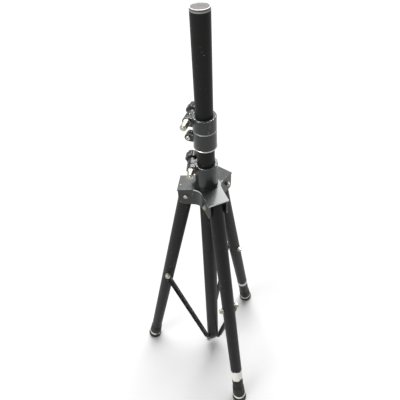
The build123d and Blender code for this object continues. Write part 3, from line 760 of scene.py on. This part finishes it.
class STAND_OT_bushes(StandOperator, bpy.types.Operator):
    """Finish the nylon liners, leg inserts and pole guide"""

    bl_idname = "stand.bushes"
    bl_label = "Bushes"

    def build(self):
        nylon = finish_of("nylon_moulding", moulded, colours().nylon, 0.42)
        for row in frame["record"]["subparts"]:
            if row["material_slot"] == "nylon":
                refined(row["node"], WHOLE, nylon, sizes().bush_edge, 1)


class STAND_OT_pole_cap(StandOperator, bpy.types.Operator):
    """Mould the cap on the pole's top end, a shallow dish inside a raised rim"""

    bl_idname = "stand.pole_cap"
    bl_label = "Pole cap"

    DISH = 0.0010
    RIM = 0.0019
    ROUND = 0.0007
    WALL = 0.0025

    def build(self):
        low, high = own_box("pole_end_cap", WHOLE)
        seat = own_box("upper_pole", WHOLE)[1].z
        top, radius, turn = high.z, high.x, self.ROUND
        plug = radius - sizes().pole_wall
        dish = radius - self.RIM
        inside = plug - self.WALL
        outline = [(0.0, top - self.DISH * 0.6), (dish * 0.55, top - self.DISH * 0.7),
                   (dish - turn * 2.0, top - self.DISH), (dish - turn * 0.6, top - self.DISH * 0.85),
                   (dish, top - self.DISH * 0.35), (dish + turn * 0.5, top - turn * 0.15),
                   (dish + turn, top), (radius - turn, top), (radius - turn * 0.3, top - turn * 0.3),
                   (radius, top - turn), (radius, seat), (plug, seat), (plug, low.z), (inside, low.z),
                   (inside, seat - self.DISH), (0.0, seat - self.DISH)]
        # the last value, 0.9, sets the strength of the painted highlight on the cap's rim
        plastic = finish_of("cap_moulding", moulded, colours().cap, 0.34, 0.5, 0.4, 0.9)
        shape = turned(outline, closed=False)
        shape.loops.layers.float.new("worn")
        # painted highlight: the cap's rim faces are marked so the cap material lightens them
        for face in shape.faces:
            centre = face.calc_center_median()
            if centre.z > top - turn * 1.2 and math.hypot(centre.x, centre.y) > dish:
                rub(shape, face, 1.0)
        finished("pole_cap_finished", shape, WHOLE, ["pole_end_cap"], "pole", plastic)


class STAND_OT_tape(StandOperator, bpy.types.Operator):
    """Wind ragged white tape round the front leg and a narrow ring of it round the back leg"""

    bl_idname = "stand.tape"
    bl_label = "Tape"

    STEPS_ROUND = 180
    STEPS_ALONG = 12
    CLEAR = 0.00006
    SWELL = 0.00012
    # name, leg, start and end down the leg from its pivot, raggedness, seed
    WINDINGS = (("front_leg_tape", 1, 0.638, 0.683, 0.0075, 3.0),
                ("back_leg_tape", 2, 0.633, 0.652, 0.0030, 7.0))

    def build(self):
        tape = finish_of("cloth_tape", paper_tape, colours().tape)
        for name, number, start, end, ragged, seed in self.WINDINGS:
            self.wind(name, number, start, end, ragged, seed, tape)

    def wind(self, name, number, start, end, ragged, seed, material):
        """Tape from start to end down the leg from its pivot, torn along both its edges."""
        shape = bmesh.new()
        bmesh.ops.create_grid(shape, x_segments=self.STEPS_ROUND, y_segments=self.STEPS_ALONG, size=1.0)
        radius = self.leg_radius(number) + self.CLEAR
        for vertex in shape.verts:
            turn = vertex.co.x * math.pi
            along = (vertex.co.y + 1.0) / 2.0
            upper = start + ragged * self.tear(turn, seed)
            lower = end + ragged * 0.8 * self.tear(turn, seed + 11.0)
            swell = self.SWELL * (1.0 + noise.noise(Vector((turn * 2.0, along * 6.0, seed))))
            reach = radius + swell
            down = upper + (lower - upper) * along
            vertex.co = Vector((reach * math.cos(turn), reach * math.sin(turn), -down))
        bmesh.ops.remove_doubles(shape, verts=shape.verts, dist=0.000001)
        bmesh.ops.recalc_face_normals(shape, faces=shape.faces)
        if sum(face.normal.dot(Vector((face.calc_center_median().x, face.calc_center_median().y, 0.0)))
               for face in shape.faces) < 0.0:
            bmesh.ops.reverse_faces(shape, faces=shape.faces)
        bmesh.ops.solidify(shape, geom=shape.faces[:], thickness=-sizes().tape_thick)
        bmesh.ops.recalc_face_normals(shape, faces=shape.faces)
        finished(name, shape, leg_place(number), [], f"leg_{number}", material)

    @staticmethod
    def leg_radius(number):
        low, high = own_box(f"leg_tube_{number}", leg_place(number))
        return high.x

    @staticmethod
    def tear(turn, seed):
        around = Vector((math.cos(turn), math.sin(turn), 0.0))
        coarse = noise.noise(around * 1.7 + Vector((seed, 0.0, 0.0)))
        fine = noise.noise(around * 9.0 + Vector((0.0, seed, 0.0)))
        return coarse * 1.4 + fine * 0.5


STEPS = (STAND_OT_stage, STAND_OT_tubes, STAND_OT_castings, STAND_OT_struts, STAND_OT_feet,
         STAND_OT_knobs, STAND_OT_fasteners, STAND_OT_bushes, STAND_OT_pole_cap, STAND_OT_tape)
GROUPS = (("stand_sizes", StandSizes), ("stand_colours", StandColours), ("stand_studio", StandStudio))


class STAND_PT_panel(bpy.types.Panel):
    """The stand's sizes and colours, and the steps that build it"""

    bl_label = "Speaker tripod stand"
    bl_idname = "STAND_PT_panel"
    bl_space_type = "VIEW_3D"
    bl_region_type = "UI"
    bl_category = "Stand"

    def draw(self, context):
        for name, group in GROUPS:
            box = self.layout.box()
            for prop in group.__annotations__:
                box.prop(getattr(context.scene, name), prop)
        for step in STEPS:
            self.layout.operator(step.bl_idname)


def register():
    for _, group in GROUPS:
        bpy.utils.register_class(group)
    for name, group in GROUPS:
        setattr(bpy.types.Scene, name, bpy.props.PointerProperty(type=group))
    for cls in (*STEPS, STAND_PT_panel):
        bpy.utils.register_class(cls)


def unregister():
    for cls in reversed((*STEPS, STAND_PT_panel)):
        bpy.utils.unregister_class(cls)
    for name, group in GROUPS:
        delattr(bpy.types.Scene, name)
        bpy.utils.unregister_class(group)


def main():
    register()
    for step in STEPS:
        category, name = step.bl_idname.split(".")
        getattr(getattr(bpy.ops, category), name)()


if __name__ == "__main__":
    main()
